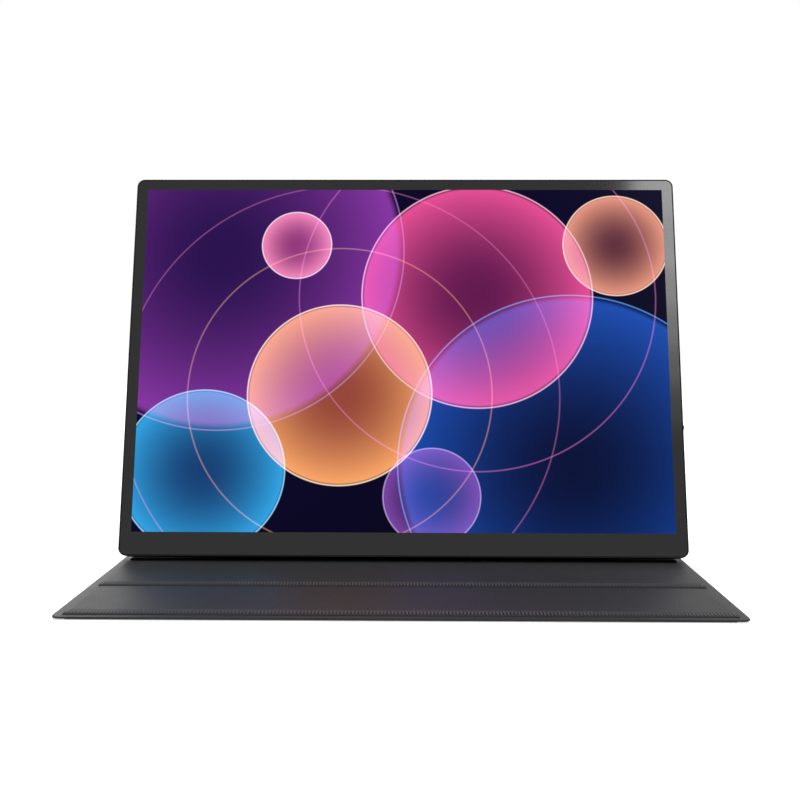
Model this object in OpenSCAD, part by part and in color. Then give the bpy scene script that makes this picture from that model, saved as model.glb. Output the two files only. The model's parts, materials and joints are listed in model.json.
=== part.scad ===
// Portable touch monitor standing on its folding leather cover.
// X runs to the viewer's right, Y away from the viewer and Z up, in millimetres.
// The origin lies on the table, straight under the lower front edge of the glass.
// Pieces of the monitor, the head panel and the strut are drawn in the screen frame:
// x across, y up along the glass from its lower edge, and z out of the glass, so that
// the depth behind the glass is -z. Cover panels are drawn there as they lie when shut.

/* [Screen] */
// Width of the lit picture
screen_w = 221.9; // [160:0.1:360]
// Height of the lit picture
screen_h = 147.9; // [110:0.1:240]
// Black border at each side of the picture
bezel_side = 4.3; // [3.5:0.1:12]
// Black border above the picture
bezel_top = 4.15; // [3.5:0.05:12]
// Black border below the picture
bezel_bottom = 9.2; // [8.5:0.1:20]
// Thickness of the cover glass
glass_t = 0.7; // [0.5:0.05:1.1]

/* [Housing] */
// Thickness of the whole monitor
monitor_t = 8.5; // [8.3:0.1:14]
// Edge of the housing that shows round the glass
rim = 0.55; // [0.4:0.05:2]
// Corner radius of the housing seen from the front
corner_r = 3.2; // [2:0.1:10]
// Radius of the rounded edges at the back
edge_r = 3; // [1.5:0.1:3.4]
// Side wall of the housing
wall = 2; // [1.6:0.1:3]
// Back wall of the housing
back_wall = 1.2; // [0.8:0.1:2]
// Play between the glass and its seat
glass_play = 0.1; // [0.05:0.05:0.3]
// Thickness of the adhesive tape under the glass
tape_t = 0.3; // [0.1:0.05:0.5]

/* [Display stack] */
// Thickness of the liquid crystal cell with its polarisers
cell_t = 1.2; // [0.8:0.1:1.6]
// Thickness of the film stack behind the cell
films_t = 0.45; // [0.3:0.05:0.8]
// Thickness of the light guide plate
guide_t = 0.6; // [0.4:0.05:1]
// Thickness of the reflector sheet
reflector_t = 0.2; // [0.1:0.05:0.4]
// Sheet thickness of the tray behind the display
tray_t = 0.3; // [0.2:0.05:0.6]
// Number of lamps on the edge light
led_count = 24; // [8:1:48]

/* [Electronics] */
// Thickness of the main circuit board
board_t = 0.8; // [0.6:0.1:1.2]
// Length of the main board across the housing
board_w = 86; // [60:1:100]
// Height of the main board
board_h = 58; // [54:1:80]
// Height of the main board's lower edge on the screen
board_v = 51; // [45:1:70]
// Length of each speaker
speaker_l = 30; // [20:1:36]
// Width of each speaker
speaker_w = 12; // [8:0.5:16]
// Sound holes beside each speaker
sound_holes = 6; // [3:1:8]
// Diameter of a sound hole
sound_d = 1.2; // [0.8:0.1:1.6]

/* [Button] */
// Diameter of the round side button
button_d = 2.4; // [2:0.1:3.2]
// Height of the button above the lower edge of the glass
button_v = 54; // [48:0.5:100]
// How far the button stands out of the side
button_out = 1.4; // [0.5:0.05:1.6]
// Travel of the button
button_travel = 0.35; // [0.2:0.05:0.45]
// Running gap round the button
button_gap = 0.15; // [0.1:0.05:0.3]

/* [Cover] */
// Width of the cover
cover_w = 230; // [170:1:370]
// Thickness of the outer leather skin
skin_t = 0.4; // [0.3:0.05:0.8]
// Thickness of the inner lining
lining_t = 0.4; // [0.3:0.05:0.6]
// Board in the front flap and the spine
flap_board_t = 0.6; // [0.4:0.1:1.2]
// Board in the back panels
back_board_t = 1.2; // [0.8:0.1:2]
// Glued margin outside the boards, at the sides
side_margin = 4.6; // [3:0.1:8]
// Glued margin at the free edges of the flap and the head panel
end_margin = 1.6; // [1.2:0.1:5]
// Corner radius of the cover
cover_r = 3; // [1:0.1:8]
// Air between the shut cover and the monitor
shut_gap = 0.3; // [0.2:0.05:1]
// Width of a grip strip on the flap
strip_w = 7; // [4:0.5:12]
// Height of a grip strip above the lining
strip_h = 0.45; // [0.2:0.05:0.5]
// Distance from the ends of a grip strip to the sides of the flap
strip_inset = 3.4; // [2:0.1:10]

/* [Stand] */
// Angle between the screen and the table
tilt = 75; // [72:0.5:78]
// How far the flap reaches in front of the glass
front_reach = 92; // [85:1:110]
// Middle strip, in front of the glass
strip_middle_y = 42; // [35:1:50]
// Front strip, in front of the glass
strip_front_y = 86; // [75:1:88]

/* [Magnets] */
// Length of a holding magnet
magnet_l = 24; // [12:1:30]
// Width of a holding magnet
magnet_w = 8; // [5:0.5:12]
// Number of holding magnets in the head panel
magnet_count = 6; // [2:2:6]
// Length of a closing magnet
closer_l = 20; // [10:1:30]
// Width of a closing magnet
closer_w = 5; // [3:0.5:7]

/* [Hidden] */
$fn = 48;
eps = 0.01;

// Colours
black_metal = [0.05, 0.05, 0.055];
glass_grey = [0.16, 0.16, 0.16];
leather = [0.20, 0.20, 0.21];
suede = [0.24, 0.24, 0.25];
board_green = [0.05, 0.25, 0.15];

// Outline of the monitor
glass_w = screen_w + 2 * bezel_side;
glass_h = screen_h + bezel_top + bezel_bottom;
body_w = glass_w + 2 * rim;
body_top = glass_h + rim;
body_bottom = -rim;

// Depths behind the face of the glass
tape_d = glass_t;
seat_d = glass_t + tape_t;
cell_d = seat_d;
films_d = cell_d + cell_t + 0.05;
guide_d = films_d + films_t + 0.05;
reflector_d = guide_d + guide_t + 0.05;
tray_d = reflector_d + reflector_t + 0.05;
tray_back = tray_d + tray_t;
inner_back = monitor_t - back_wall;

// Cavity of the housing
cavity_w = body_w - 2 * wall;
cavity_bottom = body_bottom + wall;
cavity_top = body_top - wall;
cavity_r = 0.5;

// Display stack outlines: half widths, lower and upper edges
side_play = 0.2;
tray_half = cavity_w / 2 - side_play;
frame_half = tray_half - tray_t - 0.05;
frame_wall = 1.5;
guide_half = frame_half - frame_wall - 0.1;
cell_half = frame_half;
tray_top = cavity_top - side_play;
frame_top = tray_top - tray_t - 0.05;
guide_top = frame_top - frame_wall - 0.1;
tray_bottom = cavity_bottom + 1.3;
frame_bottom = tray_bottom + tray_t + 0.05;
led_v = frame_bottom + frame_wall + 0.2;
led_h = 1.6;
guide_bottom = led_v + led_h + 0.1;

// Electronics
port_d = (tray_back + inner_back) / 2;
board_left = -cavity_w / 2 + 0.3;
board_d = port_d - board_t / 2;
boss_d = 4.4;
boss_bore = 1.7;
screw_d = 1.6;
screw_head_d = 2.8;
screw_head_h = 0.6;
boss_inset = 3.4;
usb_size = [8.94, 3.16, 7.3];
hdmi_size = [11.2, 3.1, 7.5];
port_gap = 0.15;
usb_heights = [board_v + 10, board_v + 25];
hdmi_height = board_v + 42;
port_recess = 0.35;
speaker_t = inner_back - tray_back - 0.5;
speaker_v = tray_bottom + 8;
flex_t = 0.1;
cable_w = 10;
cable_gap = 2.7;
cable_x = board_left + board_w - boss_inset - screw_head_d / 2 - cable_gap - cable_w / 2;

// Button
button_d_mid = port_d;
button_flange = [button_d + 2.4, inner_back - tray_back - 0.3];
button_flange_t = 0.5;

// Cover thicknesses and hinge lines; the hinge of the spine lies in the outer skin
flap_t = skin_t + flap_board_t + lining_t;
back_t = skin_t + back_board_t + lining_t;
web_t = 2 * skin_t;
shut_d = monitor_t + shut_gap;
hinge_d = shut_d + back_t - skin_t;
hinge_v = body_bottom - shut_gap - flap_t + skin_t;
hinge_z = skin_t;
fold_d = shut_d + lining_t;
spine_reach = hinge_d + shut_gap + flap_t - skin_t;
flap_reach = body_top - hinge_v;
lean = 90 - tilt;

// Where the stand pose puts the hinge lines and the glass
hinge_y = flap_reach + spine_reach - front_reach;
flap_hinge_y = hinge_y - spine_reach;
fold_v = (hinge_y - hinge_d * cos(lean) + hinge_v * sin(lean)) / (2 * sin(lean));
glass_z = hinge_z + (2 * fold_d - hinge_d) * sin(lean) - hinge_v * cos(lean);
foot_d = monitor_t - edge_r;
foot_v = edge_r - rim;
foot_y = foot_d * cos(lean) + foot_v * sin(lean);

// Gutters: leather without board beside each hinge line
flap_gutter = 2.5;
spine_gutter = 3.3;
strut_gutter = 2.5;
fold_gutter = 1.8;
crease_gap = 0.3;
fold_half = web_t / 2 + crease_gap;
closest_fold = 54;
rear_half = (crease_gap / 2 + web_t / 2 * cos(closest_fold / 2)) / sin(closest_fold / 2);

// Places across the width
magnet_pitch = (cover_w - 2 * side_margin - magnet_l) / magnet_count;
function spread(count, pitch) = [for (i = [0:count - 1]) (i - (count - 1) / 2) * pitch];
magnet_x = spread(magnet_count, magnet_pitch);
closer_x = [-cover_w / 4 - closer_l, -cover_w / 12, cover_w / 12, cover_w / 4 + closer_l];
head_b0 = fold_v + fold_gutter;
head_b1 = body_top - end_margin;
head_v = (head_b0 + head_b1) / 2;
magnet_edge = 1;
magnet_fit = min(magnet_w, head_b1 - head_b0 - 2 * magnet_edge);

// ---------- frames ----------

module on_monitor() translate([0, 0, glass_z]) rotate([tilt, 0, 0]) children();

module on_strut() translate([0, hinge_y, hinge_z]) rotate([90 + lean, 0, 0])
    translate([0, -hinge_v, hinge_d]) children();

// ---------- shapes that repeat ----------

// Block between two heights and two depths, centred on x
module block(w, v0, v1, d0, d1, x = 0)
    translate([x - w / 2, v0, -d1]) cube([w, v1 - v0, d1 - d0]);

// Rectangle with round corners at the chosen ends
module round_rect(w, y0, y1, r, low = true, high = true) {
    inner_0 = low ? y0 + r : y0;
    inner_1 = high ? y1 - r : y1;
    translate([-w / 2, inner_0]) square([w, inner_1 - inner_0]);
    translate([-w / 2 + r, y0]) square([w - 2 * r, y1 - y0]);
    for (side = [-1, 1]) {
        if (low) translate([side * (w / 2 - r), y0 + r]) circle(r);
        if (high) translate([side * (w / 2 - r), y1 - r]) circle(r);
    }
}

// Plate of that outline between two depths
module round_plate(w, y0, y1, r, d0, d1)
    translate([0, 0, -d1]) linear_extrude(d1 - d0) round_rect(w, y0, y1, r);

// Slot with round ends, its length along y
module stadium(length, width) {
    translate([-width / 2, -(length - width) / 2]) square([width, length - width]);
    for (side = [-1, 1]) translate([0, side * (length - width) / 2]) circle(width / 2);
}

// Turns a drawing so that its y runs up the screen and it rises out of the left side
module out_of_left(x, v, d) translate([x, v, -d]) rotate([0, -90, 0]) children();

// Outer skin of a boarded cover panel. It lies flat under the margins and wraps the
// board; z = 0 is the outer face. A web runs on to a hinge line at each end that has one.
module panel_skin(y0, y1, b0, b1, board, low_round, high_round) {
    difference() {
        union() {
            translate([0, 0, board]) linear_extrude(skin_t)
                round_rect(cover_w, y0, y1, cover_r, low_round, high_round);
            translate([-cover_w / 2 + side_margin - skin_t, b0 - skin_t, 0])
                cube([cover_w - 2 * side_margin + 2 * skin_t, b1 - b0 + 2 * skin_t,
                    board + skin_t]);
        }
        panel_board_space(b0, b1, board);
    }
}

module panel_board_space(b0, b1, board)
    translate([-cover_w / 2 + side_margin, b0, skin_t])
        cube([cover_w - 2 * side_margin, b1 - b0, board + eps]);

// Board of a cover panel, with windows for magnets
module panel_board(b0, b1, board, windows = [], window_y = 0, window = [0, 0])
    difference() {
        translate([-cover_w / 2 + side_margin, b0, skin_t])
            cube([cover_w - 2 * side_margin, b1 - b0, board]);
        for (x = windows) translate([x - window[0] / 2, window_y - window[1] / 2, 0])
            cube([window[0], window[1], skin_t + board + 1]);
    }

// Lining sheet over a cover panel
module panel_lining(y0, y1, board, low_round, high_round)
    translate([0, 0, skin_t + board]) linear_extrude(lining_t)
        round_rect(cover_w, y0, y1, cover_r, low_round, high_round);

// Flat magnets in a row
module magnet_row(places, y, z, size)
    for (x = places) translate([x - size[0] / 2, y - size[1] / 2, z]) cube(size);

// Web of bonded leather from a panel to a hinge line, square to the width
module web(y0, y1, z) translate([-cover_w / 2, min(y0, y1), z])
    cube([cover_w, abs(y1 - y0), web_t]);

// Rolled edge of leather on a hinge line
module crease(y, z) translate([-cover_w / 2, y, z]) rotate([0, 90, 0])
    cylinder(d = web_t, h = cover_w);

// ---------- housing ----------

// Solid outer form: front outline, with the rear edges rounded on all four sides
module housing_form() {
    mid_v = (body_top + body_bottom) / 2;
    body_h = body_top - body_bottom;
    intersection() {
        round_plate(body_w, body_bottom, body_top, corner_r, 0, monitor_t);
        translate([-body_w / 2 - 1, 0, 0]) rotate([90, 0, 90]) linear_extrude(body_w + 2)
            rear_rounded(body_h, mid_v);
        translate([0, body_top + 1, 0]) rotate([90, 0, 0])
            linear_extrude(body_h + 2) rear_rounded(body_w, 0);
    }
}

// Section of the housing: square at the glass, round at the back
module rear_rounded(length, centre) translate([centre, 0]) {
    translate([-length / 2, -monitor_t + edge_r]) square([length, monitor_t - edge_r]);
    translate([-length / 2 + edge_r, -monitor_t]) square([length - 2 * edge_r, monitor_t]);
    for (side = [-1, 1]) translate([side * (length / 2 - edge_r), -monitor_t + edge_r])
        circle(edge_r);
}

// Screw places of the main board
function boss_places() = [for (x = [board_left + boss_inset + 6, board_left + board_w - boss_inset],
    v = [board_v + boss_inset, board_v + board_h - boss_inset]) [x, v]];

// Pillars that stop the display tray from bending
function pillar_places() = [for (x = [-cavity_w / 4 - 4, 0, cavity_w / 4 + 4],
    v = [body_top * 0.2, body_top * 0.8]) [x, v]];

pad_t = 0.3;
pillar_d = 5;

module at_places(places) for (p = places) translate([p[0], p[1], 0]) children();

module rear_housing() color(black_metal) on_monitor() difference() {
    union() {
        difference() {
            housing_form();
            round_plate(glass_w + 2 * glass_play, -glass_play, glass_h + glass_play,
                corner_r - rim + glass_play, -1, seat_d);
            round_plate(cavity_w, cavity_bottom, cavity_top, cavity_r, -1, inner_back);
        }
        at_places(boss_places()) translate([0, 0, -inner_back])
            cylinder(d = boss_d, h = inner_back - board_d - board_t);
        at_places(pillar_places()) translate([0, 0, -inner_back])
            cylinder(d = pillar_d, h = inner_back - tray_back - pad_t);
        button_ribs();
    }
    at_places(boss_places()) translate([0, 0, -inner_back - back_wall / 2])
        cylinder(d = boss_bore, h = back_wall + inner_back);
    for (v = usb_heights) port_cut(v) stadium(usb_size[0] + 2 * port_gap, usb_size[1] + 2 * port_gap);
    port_cut(hdmi_height) hdmi_outline(port_gap);
    for (side = [-1, 1]) sound_cuts(side);
    translate([cavity_w / 2 - 1, button_v, -button_d_mid]) rotate([0, 90, 0])
        cylinder(d = button_d + 2 * button_gap, h = wall + 2);
}

// Opening through the left wall for a socket
module port_cut(v) out_of_left(-cavity_w / 2 + 1, v, port_d)
    linear_extrude(wall + 2) children();

// Row of sound holes through a side wall
module sound_cuts(side) for (step = spread(sound_holes, 2 * sound_d))
    translate([side * cavity_w / 2, speaker_v + speaker_l / 2 + step, -port_d])
        rotate([0, 90, 0]) cylinder(d = sound_d, h = 3 * wall, center = true);

// ---------- glass and display ----------

module cover_glass() color(glass_grey) on_monitor()
    round_plate(glass_w, 0, glass_h, corner_r - rim, 0, glass_t);

module glass_tape() color([0.1, 0.1, 0.1]) on_monitor() difference() {
    round_plate(glass_w - 0.4, 0.2, glass_h - 0.2, corner_r - rim, tape_d, seat_d);
    round_plate(cavity_w + 0.1, cavity_bottom - 0.05, cavity_top + 0.05, cavity_r,
        tape_d - 1, seat_d + 1);
}

module touch_sensor() color([0.6, 0.65, 0.7]) on_monitor()
    block(2 * cell_half - 1, frame_bottom + 3, frame_top - 0.5, tape_d, seat_d);

module lcd_cell() color([0.08, 0.1, 0.25]) on_monitor() {
    block(2 * cell_half, frame_bottom, frame_top, cell_d + cell_t / 2, cell_d + cell_t);
    block(2 * cell_half, led_v + led_h, frame_top, cell_d, cell_d + cell_t / 2);
}

module optical_films() color([0.9, 0.9, 0.92]) on_monitor()
    for (i = [0:2]) block(2 * guide_half, guide_bottom, guide_top,
        films_d + i * films_t / 3, films_d + i * films_t / 3 + films_t / 4);

module light_guide() color([0.85, 0.92, 0.95]) on_monitor()
    block(2 * guide_half, guide_bottom, guide_top, guide_d, guide_d + guide_t);

module reflector_sheet() color([0.95, 0.95, 0.95]) on_monitor()
    block(2 * guide_half, led_v, guide_top, reflector_d, reflector_d + reflector_t);

module edge_light() color([0.95, 0.9, 0.6]) on_monitor() {
    led_pitch = 2 * guide_half / led_count;
    block(2 * guide_half, led_v, led_v + 0.4, guide_d, guide_d + guide_t);
    for (x = spread(led_count, led_pitch))
        block(led_pitch * 0.4, led_v + 0.4 - eps, led_v + led_h, guide_d, guide_d + guide_t, x);
}

module panel_frame() color([0.15, 0.15, 0.15]) on_monitor() difference() {
    block(2 * frame_half, frame_bottom, frame_top, cell_d + cell_t, tray_d);
    block(2 * (frame_half - frame_wall), frame_bottom + frame_wall, frame_top - frame_wall,
        cell_d, tray_d + 1);
}

module panel_tray() color([0.7, 0.7, 0.72]) on_monitor() difference() {
    block(2 * tray_half, tray_bottom, tray_top, cell_d + cell_t + 0.3, tray_back);
    block(2 * (tray_half - tray_t), tray_bottom + tray_t, tray_top - tray_t, 0, tray_d);
}

module panel_pads() color([0.2, 0.2, 0.2]) on_monitor() at_places(pillar_places())
    translate([0, 0, -tray_back - pad_t]) cylinder(d = pillar_d, h = pad_t);

// ---------- circuits ----------

driver_w = 120;
driver_h = 10;
driver_v0 = tray_bottom + 2;
driver_v1 = driver_v0 + driver_h;
driver_t = 0.6;
driver_back = tray_back + driver_t;
driver_chip = [8, 4, 0.8];
driver_chip_pitch = 26;
ribbon_w = 22;
ribbon_pitch = 38;

module driver_board() color(board_green) on_monitor() {
    block(driver_w, driver_v0, driver_v1, tray_back, driver_back);
    for (i = [0:3]) block(driver_chip[0], driver_v1 - driver_chip[1] - 2, driver_v1 - 2,
        driver_back - eps, driver_back + driver_chip[2],
        cable_x + cable_w / 2 + driver_chip[0] / 2 + i * driver_chip_pitch);
}

// Ribbon that leaves the cell, turns round the tray's lower edge and lies on its board
module wrap_flex(w, x, top_v, front_d, turn_v, back_d, end_v) {
    block(w, turn_v, top_v, front_d, front_d + flex_t, x);
    block(w, turn_v, turn_v + flex_t, front_d, back_d + flex_t, x);
    block(w, turn_v, end_v, back_d, back_d + flex_t, x);
}

module display_flex() color([0.85, 0.5, 0.15]) on_monitor()
    for (x = spread(3, ribbon_pitch)) wrap_flex(ribbon_w, x, frame_bottom, cell_d + cell_t - 0.3,
        cavity_bottom + 0.7, driver_back, driver_v0 + 3);

touch_board_w = 26;
touch_chip_w = 6;
touch_x = driver_w / 2 + touch_board_w / 2 + 9;

module touch_board() color(board_green) on_monitor() {
    block(touch_board_w, driver_v0, driver_v1, tray_back, driver_back, touch_x);
    block(touch_chip_w, driver_v1 - touch_chip_w - 1, driver_v1 - 1, driver_back - eps,
        driver_back + driver_chip[2], touch_x);
}

module touch_flex() color([0.85, 0.5, 0.15]) on_monitor()
    wrap_flex(12, touch_x, frame_bottom + 3, seat_d - flex_t, cavity_bottom + 0.3,
        driver_back, driver_v0 + 2);

module main_board() color(board_green) on_monitor() difference() {
    block(board_w, board_v, board_v + board_h, board_d, board_d + board_t,
        board_left + board_w / 2);
    at_places(boss_places()) translate([0, 0, -board_d - board_t - 1])
        cylinder(d = screw_d + 0.3, h = board_t + 2);
    for (v = usb_heights) port_body_space(v, usb_size);
    port_body_space(hdmi_height, hdmi_size);
}

// Notch in the board that a socket sits in
module port_body_space(v, size)
    translate([-body_w / 2 - 1, v - size[0] / 2 - port_gap, -port_d - size[1] / 2 - port_gap])
        cube([1 + port_recess + size[2] + port_gap, size[0] + 2 * port_gap,
            size[1] + 2 * port_gap]);

chip_front = board_d - 0.9;
scaler = [board_left + 50, board_v + 30, 14];

module board_chips() color([0.1, 0.1, 0.1]) on_monitor() {
    block(scaler[2], scaler[1] - scaler[2] / 2, scaler[1] + scaler[2] / 2, chip_front, board_d, scaler[0]);
    for (chip = [[22, 12, 6, 5], [30, 12, 5, 5], [22, 46, 7, 6], [74, 44, 8, 6], [74, 16, 6, 8]])
        block(chip[2], board_v + chip[1], board_v + chip[1] + chip[3], chip_front, board_d,
            board_left + chip[0]);
    for (x = [34, 40, 46, 52, 58, 64]) block(2.4, board_v + 8, board_v + 10, chip_front + 0.2,
        board_d, board_left + x);
}

can_size = [26, 24];

module shield_can() color([0.75, 0.75, 0.77]) on_monitor() difference() {
    block(can_size[0], scaler[1] - can_size[1] / 2, scaler[1] + can_size[1] / 2,
        tray_back + 0.15, board_d, scaler[0]);
    block(can_size[0] - 0.4, scaler[1] - can_size[1] / 2 + 0.2, scaler[1] + can_size[1] / 2 - 0.2,
        tray_back + 0.3, board_d + 1, scaler[0]);
}

module thermal_pad() color([0.5, 0.6, 0.7]) on_monitor()
    block(scaler[2], scaler[1] - scaler[2] / 2, scaler[1] + scaler[2] / 2,
        board_d + board_t, inner_back, scaler[0]);

// Open metal shell with a closed rear end and a tongue inside
module socket(v, size, tongue) out_of_left(-body_w / 2 + port_recess + size[2], v, port_d) {
    difference() {
        linear_extrude(size[2]) children(0);
        translate([0, 0, 0.8]) linear_extrude(size[2]) children(1);
    }
    translate([-tongue[1] / 2, -tongue[0] / 2, 0.8 - eps]) cube([tongue[1], tongue[0], size[2] - 2.3]);
}

module usb_c_sockets() color([0.78, 0.78, 0.8]) on_monitor()
    for (v = usb_heights) socket(v, usb_size, [6.7, 0.7]) {
        stadium(usb_size[0], usb_size[1]);
        stadium(usb_size[0] - 0.6, usb_size[1] - 0.6);
    }

// Mouth of the video socket: a flat box with two cut corners
module hdmi_outline(grow) {
    half_l = hdmi_size[0] / 2 + grow;
    half_t = hdmi_size[1] / 2 + grow;
    step = 1.1;
    polygon([[-half_t, -half_l + step], [0, -half_l], [half_t, -half_l], [half_t, half_l],
        [0, half_l], [-half_t, half_l - step]]);
}

module mini_hdmi_socket() color([0.78, 0.78, 0.8]) on_monitor()
    socket(hdmi_height, hdmi_size, [8.4, 0.6]) {
        hdmi_outline(0);
        hdmi_outline(-0.3);
    }

module panel_cable() color([0.85, 0.5, 0.15]) on_monitor() {
    block(cable_w, driver_v1 - 4, board_v + 4, driver_back, driver_back + flex_t, cable_x);
    block(cable_w, board_v, board_v + 4, driver_back, board_d, cable_x);
}

module speakers() color([0.12, 0.12, 0.12]) on_monitor() for (side = [-1, 1])
    difference() {
        block(speaker_w, speaker_v, speaker_v + speaker_l, inner_back - speaker_t, inner_back,
            side * (cavity_w / 2 - speaker_w / 2 - 0.1));
        translate([side * cavity_w / 2, speaker_v + speaker_l / 2, -port_d])
            cube([2, speaker_l - 6, speaker_t - 1.4], center = true);
    }

// ---------- button ----------

switch_x = cavity_w / 2 - button_flange_t - button_travel - 0.25;
switch_t = 1.4;
button_board_t = 0.8;
button_board_l = 14;
button_board_x = switch_x - switch_t - button_board_t;

module button_switch() color([0.8, 0.8, 0.8]) on_monitor() {
    translate([switch_x - switch_t, button_v - 1.5, -button_d_mid - 1.4]) cube([switch_t - 0.3, 3, 2.8]);
    translate([switch_x - 0.3 - eps, button_v, -button_d_mid]) rotate([0, 90, 0])
        cylinder(d = 1.4, h = 0.3);
}

module button_board() color(board_green) on_monitor()
    translate([button_board_x, button_v - button_board_l / 2, -inner_back])
        cube([button_board_t, button_board_l, inner_back - tray_back - 0.3]);

// Two ribs of the housing behind the upright button board
module button_ribs() for (side = [-1, 1])
    translate([button_board_x - 1.2, button_v + side * (button_board_l / 2 - 1.5) - 0.6, -inner_back])
        cube([1.2, 1.2, inner_back - tray_back - 0.3]);

module side_button() color(black_metal) on_monitor()
    translate([cavity_w / 2 - button_flange_t, button_v, -button_d_mid]) rotate([0, 90, 0]) {
        linear_extrude(button_flange_t - 0.05) stadium(button_flange[0], button_flange[1]);
        cylinder(d = button_d, h = button_flange_t + wall + button_out - 0.25);
        translate([0, 0, button_flange_t + wall + button_out - 0.25 - eps])
            cylinder(d1 = button_d, d2 = button_d - 0.5, h = 0.25 + eps, $fn = 48);
    }

// ---------- screws and magnets in the monitor ----------

module board_screws() color([0.6, 0.6, 0.62]) on_monitor() at_places(boss_places()) {
    translate([0, 0, -board_d]) cylinder(d = screw_head_d, h = screw_head_h);
    translate([0, 0, -inner_back - back_wall / 2 + 0.2])
        cylinder(d = screw_d, h = inner_back + back_wall / 2 - 0.2 - board_d + eps);
}

module holding_magnets() color([0.6, 0.6, 0.62]) on_monitor()
    magnet_row(magnet_x, head_v, -inner_back, [magnet_l, magnet_fit, 1.4]);

module closing_plates() color([0.5, 0.5, 0.52]) on_monitor()
    magnet_row(closer_x, tray_top - 6, -tray_back - 0.8, [closer_l, closer_w, 0.8]);

// ---------- front flap, flat on the table ----------

flap_y0 = -front_reach;
flap_b0 = flap_y0 + end_margin;
flap_b1 = flap_hinge_y - flap_gutter;

module flap_skin() color(leather) {
    panel_skin(flap_y0, flap_b1 + skin_t, flap_b0, flap_b1, flap_board_t, true, false);
    web(flap_b1 + skin_t - eps, flap_hinge_y, 0);
    crease(flap_hinge_y, hinge_z);
}

module flap_board() color([0.5, 0.42, 0.32])
    panel_board(flap_b0, flap_b1, flap_board_t, closer_x, flap_b0 + 4 + closer_w / 2,
        [closer_l, closer_w]);

module flap_lining() color(suede)
    panel_lining(flap_y0, flap_b1 + skin_t, flap_board_t, true, false);

module flap_magnets() color([0.6, 0.6, 0.62])
    magnet_row(closer_x, flap_b0 + 4 + closer_w / 2, skin_t, [closer_l, closer_w, flap_board_t]);

// Low anti-slip strip with bevelled long edges
module grip_strip(y) color([0.14, 0.14, 0.15]) {
    bevel = strip_h / 2;
    translate([-cover_w / 2 + strip_inset, y - strip_w / 2, flap_t]) rotate([90, 0, 90])
        linear_extrude(cover_w - 2 * strip_inset)
            polygon([[0, 0], [strip_w, 0], [strip_w, strip_h - bevel], [strip_w - bevel, strip_h],
                [bevel, strip_h], [0, strip_h - bevel]]);
}

module grip_strip_rear() grip_strip(foot_y);
module grip_strip_middle() grip_strip(-strip_middle_y);
module grip_strip_front() grip_strip(-strip_front_y);

// ---------- spine, flat on the table ----------

spine_b0 = flap_hinge_y + flap_gutter;
spine_b1 = hinge_y - spine_gutter;

module spine_skin() color(leather) {
    panel_skin(spine_b0 - skin_t, spine_b1 + skin_t, spine_b0, spine_b1, flap_board_t, false, false);
    web(flap_hinge_y + fold_half, spine_b0 - skin_t + eps, 0);
    web(spine_b1 + skin_t - eps, hinge_y - rear_half, 0);
}

module spine_board() color([0.5, 0.42, 0.32]) panel_board(spine_b0, spine_b1, flap_board_t);

module spine_lining() color(suede)
    panel_lining(spine_b0 - skin_t, spine_b1 + skin_t, flap_board_t, false, false);

module fold_crease() color(leather) crease(hinge_y, hinge_z);

// ---------- strut ----------

strut_b0 = hinge_v + strut_gutter;
strut_b1 = fold_v - fold_gutter;

// Frame of a shut back panel: z = 0 is its outer face
module back_panel() translate([0, 0, -shut_d - back_t]) children();

module strut_skin() color(leather) on_strut() back_panel() {
    panel_skin(strut_b0 - skin_t, strut_b1 + skin_t, strut_b0, strut_b1, back_board_t, false, false);
    web(hinge_v + rear_half, strut_b0 - skin_t + eps, 0);
    web(strut_b1 + skin_t - eps, fold_v, back_board_t);
    crease(fold_v, back_board_t + skin_t);
}

module strut_board() color([0.5, 0.42, 0.32]) on_strut() back_panel()
    panel_board(strut_b0, strut_b1, back_board_t);

module strut_lining() color(suede) on_strut() back_panel()
    panel_lining(strut_b0 - skin_t, strut_b1 + skin_t - eps, back_board_t, false, false);

// ---------- head panel, held to the monitor by magnets ----------

module head_skin() color(leather) on_monitor() back_panel() {
    panel_skin(head_b0 - skin_t, body_top, head_b0, head_b1, back_board_t, false, true);
    web(fold_v + fold_half, head_b0 - skin_t + eps, back_board_t);
}

module head_board() color([0.5, 0.42, 0.32]) on_monitor() back_panel()
    panel_board(head_b0, head_b1, back_board_t, magnet_x, head_v, [magnet_l, magnet_fit]);

module head_lining() color(suede) on_monitor() back_panel()
    panel_lining(head_b0 - skin_t + eps, body_top, back_board_t, false, true);

module head_magnets() color([0.6, 0.6, 0.62]) on_monitor() back_panel()
    magnet_row(magnet_x, head_v, skin_t, [magnet_l, magnet_fit, back_board_t]);

// ---------- nodes ----------

rear_housing();
cover_glass();
glass_tape();
touch_sensor();
lcd_cell();
optical_films();
light_guide();
reflector_sheet();
edge_light();
panel_frame();
panel_tray();
panel_pads();
driver_board();
display_flex();
touch_board();
touch_flex();
main_board();
board_chips();
shield_can();
thermal_pad();
usb_c_sockets();
mini_hdmi_socket();
panel_cable();
speakers();
button_board();
button_switch();
board_screws();
holding_magnets();
closing_plates();
side_button();
flap_skin();
flap_board();
flap_lining();
flap_magnets();
grip_strip_rear();
grip_strip_middle();
grip_strip_front();
spine_skin();
spine_board();
spine_lining();
fold_crease();
strut_skin();
strut_board();
strut_lining();
head_skin();
head_board();
head_lining();
head_magnets();
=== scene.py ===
import json
import math

import bmesh
import bpy
from mathutils import Matrix, Vector


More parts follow.
